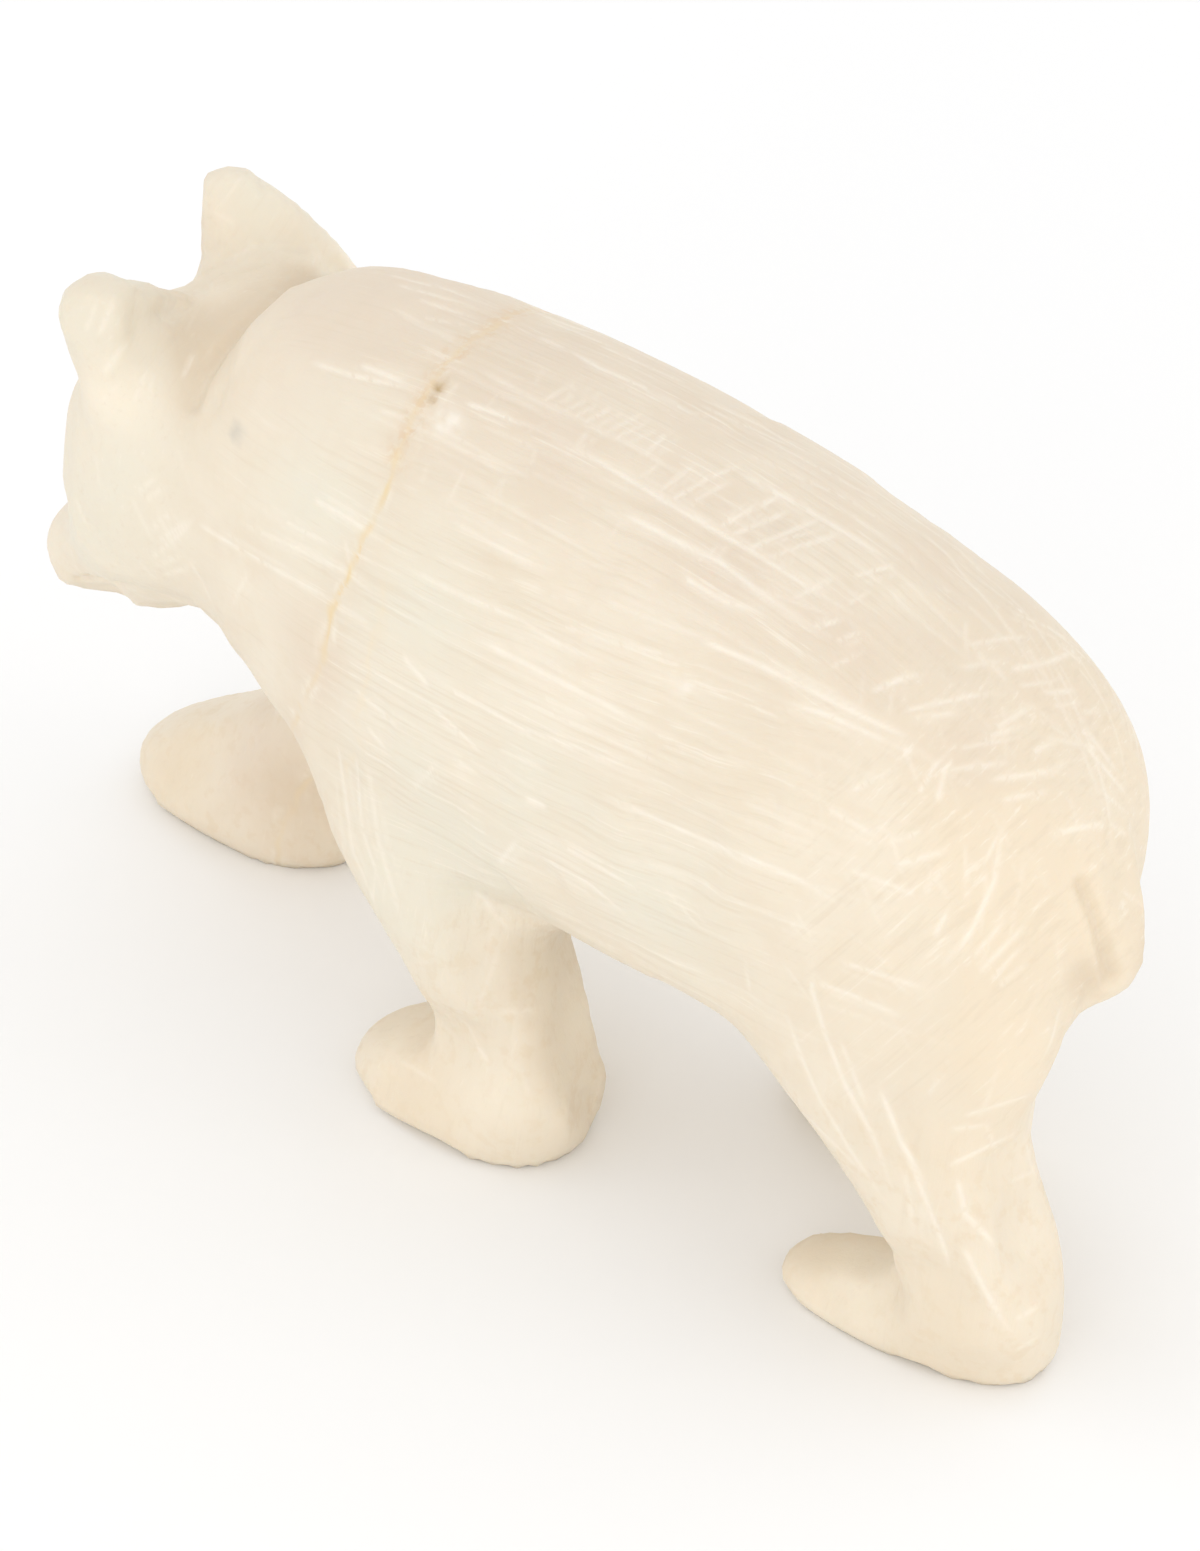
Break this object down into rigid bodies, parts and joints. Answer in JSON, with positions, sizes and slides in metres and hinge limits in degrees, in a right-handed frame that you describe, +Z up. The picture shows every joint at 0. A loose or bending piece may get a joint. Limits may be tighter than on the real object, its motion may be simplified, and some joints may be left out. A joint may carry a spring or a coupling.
{
  "type": "carved stone bear figure",
  "caption": "Small walking bear carved from one piece of pale soapstone, head lowered, ears up, standing on flat soles.",
  "frame": {"origin": "on the ground plane, under the middle of the bear's length and width", "axes": "+Z up, the bear faces -Y, its left side is +X"},
  "size_m": [0.036, 0.1064, 0.0624],
  "materials": {
    "soapstone": "filed, unpolished"
  },
  "bodies": {
    "root": {"bear": "soapstone"}
  },
  "joints": []
}
